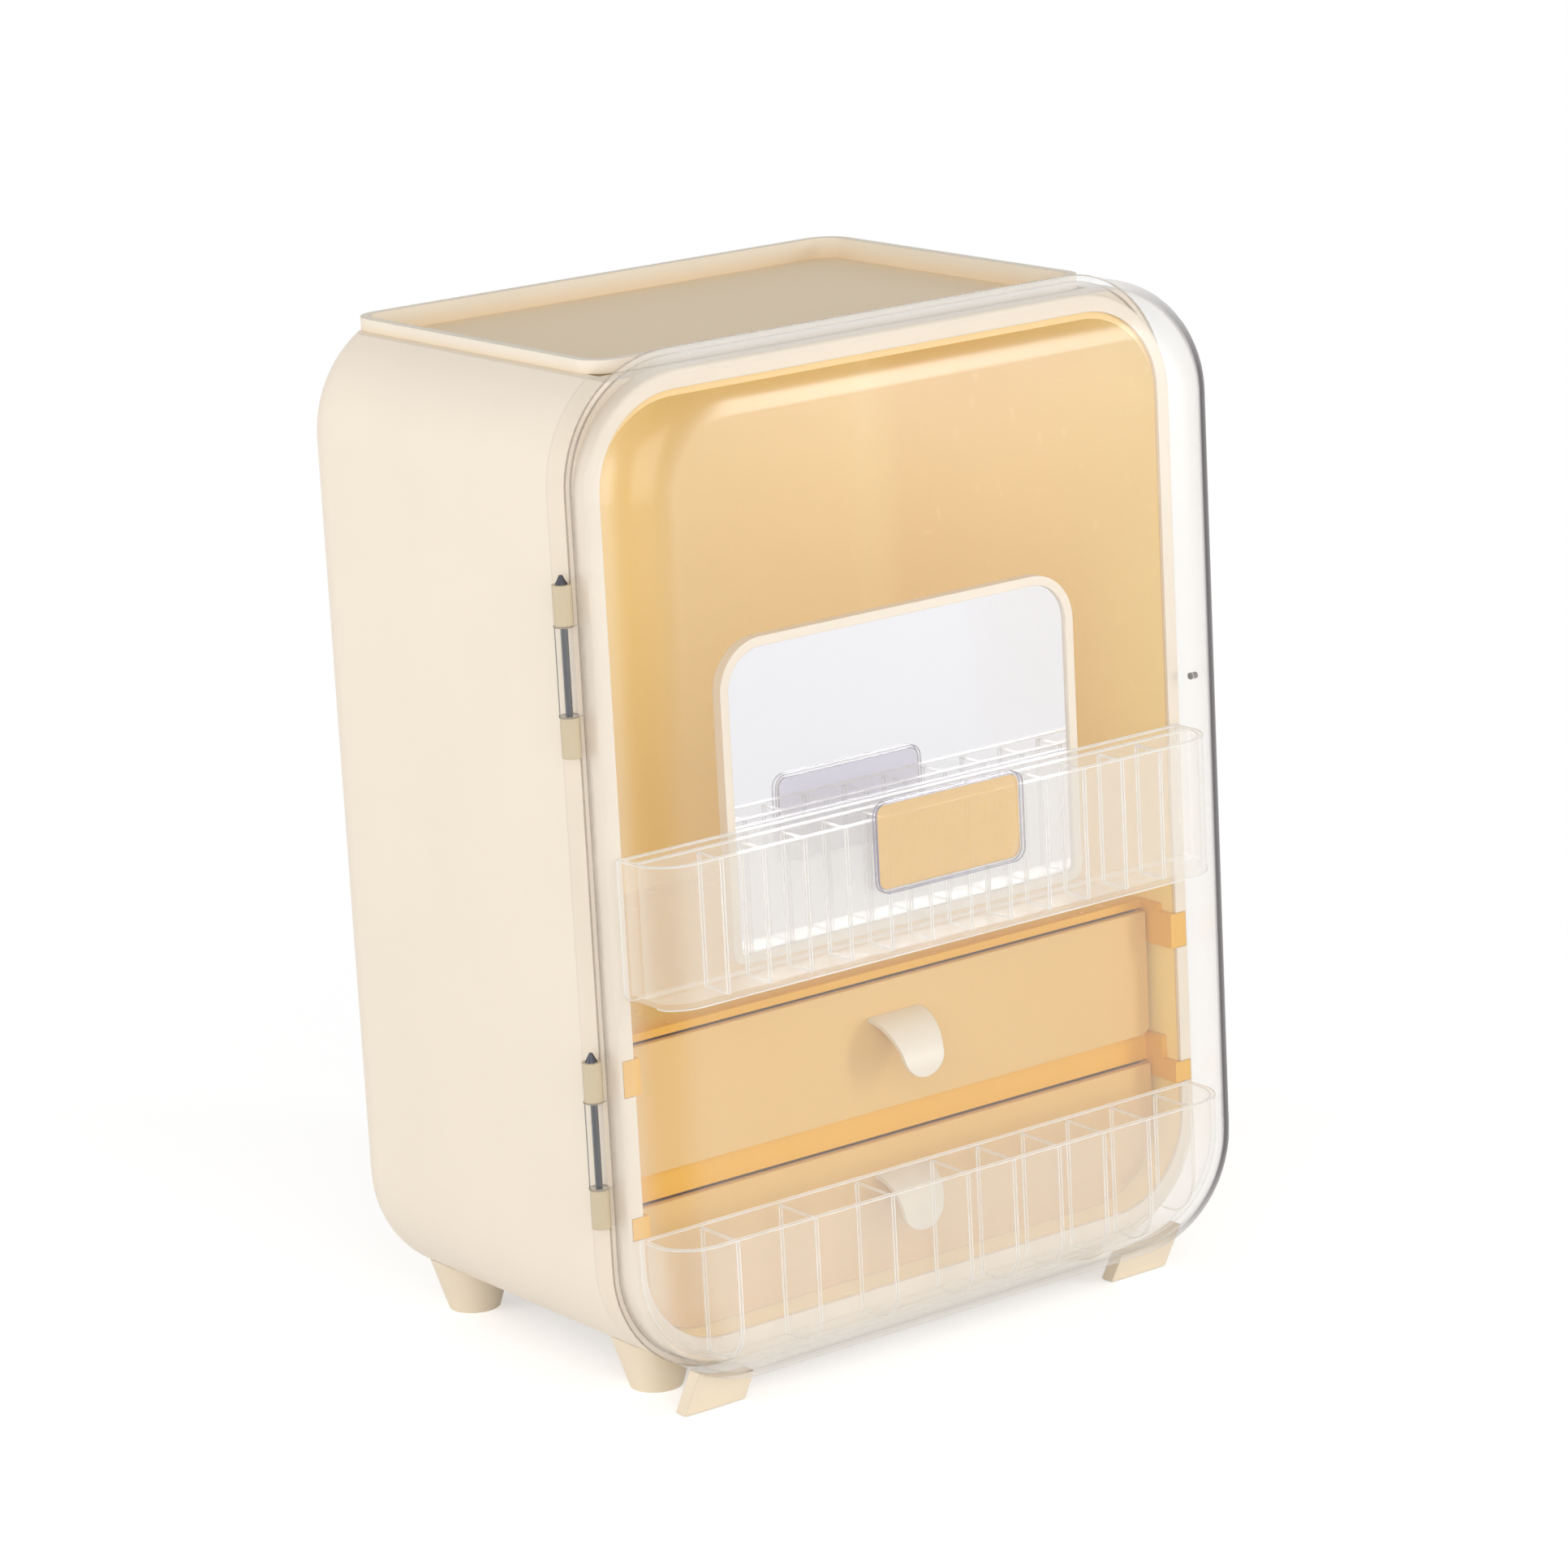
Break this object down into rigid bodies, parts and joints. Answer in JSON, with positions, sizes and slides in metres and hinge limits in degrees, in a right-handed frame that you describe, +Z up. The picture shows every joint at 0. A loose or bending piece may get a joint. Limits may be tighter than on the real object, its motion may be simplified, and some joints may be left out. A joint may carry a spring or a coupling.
{
  "type": "cosmetic organizer box",
  "caption": "Rounded countertop cosmetic cabinet with a clear hinged door, divided door racks, a mirror, pull-out drawers and a tray on top.",
  "frame": {"origin": "middle of the bounding box's base, on the surface the organizer stands on", "axes": "+Z up, door and drawers face -Y, hinge on the -X side"},
  "size_m": [0.2822, 0.212, 0.392],
  "materials": {
    "cream_plastic": "satin moulded cream plastic",
    "frame_plastic": "satin moulded cream plastic",
    "tray_plastic": "matt moulded cream plastic",
    "amber_plastic": "glossy amber plastic",
    "drawer_plastic": "glossy amber plastic",
    "clear_plastic": "polished clear plastic",
    "rack_plastic": "polished clear plastic",
    "mirror_surface": "silvered mirror",
    "card": "plain printed card",
    "steel": "plain steel",
    "dark_plastic": "dark moulded plastic",
    "foot_plastic": "matt moulded cream plastic",
    "handle_plastic": "satin cream plastic"
  },
  "bodies": {
    "cabinet": {"casing": "cream_plastic", "front_frame": "frame_plastic", "inner_liner": "amber_plastic", "liner_back_panel": "amber_plastic", "upper_shelf": "amber_plastic", "middle_shelf": "amber_plastic", "top_tray": "tray_plastic", "upper_hinge_pin": "steel", "lower_hinge_pin": "steel", "front_foot_left": "foot_plastic", "front_foot_right": "foot_plastic", "rear_foot_left": "foot_plastic", "rear_foot_right": "foot_plastic"},
    "door": {"door_shell": "clear_plastic", "door_catch_stud": "dark_plastic", "upper_rack": "rack_plastic", "upper_rack_dividers": "rack_plastic", "lower_rack": "rack_plastic", "lower_rack_dividers": "rack_plastic", "mirror_frame": "frame_plastic", "mirror_glass": "mirror_surface", "label_plate": "clear_plastic", "label_card": "card", "door_foot_left": "foot_plastic", "door_foot_right": "foot_plastic"},
    "upper_drawer": {"upper_drawer": "drawer_plastic", "upper_drawer_handle": "handle_plastic"},
    "lower_drawer": {"lower_drawer": "drawer_plastic", "lower_drawer_handle": "handle_plastic"}
  },
  "joints": [
    {"name": "door_hinge", "type": "hinge", "parent": "cabinet", "child": "door", "pos_m": [-0.1376, -0.067, 0.2026], "axis": [0, 0, -1], "range_deg": [0, 180]},
    {"name": "upper_drawer_slide", "type": "slide", "parent": "cabinet", "child": "upper_drawer", "axis": [0, -1, 0], "range_m": [0, 0.11]},
    {"name": "lower_drawer_slide", "type": "slide", "parent": "cabinet", "child": "lower_drawer", "axis": [0, -1, 0], "range_m": [0, 0.11]}
  ],
  "couplings": [
    {"joint": "upper_drawer_slide", "follows": "door_hinge", "m_per_rad": 0.035},
    {"joint": "lower_drawer_slide", "follows": "door_hinge", "m_per_rad": 0.035}
  ]
}
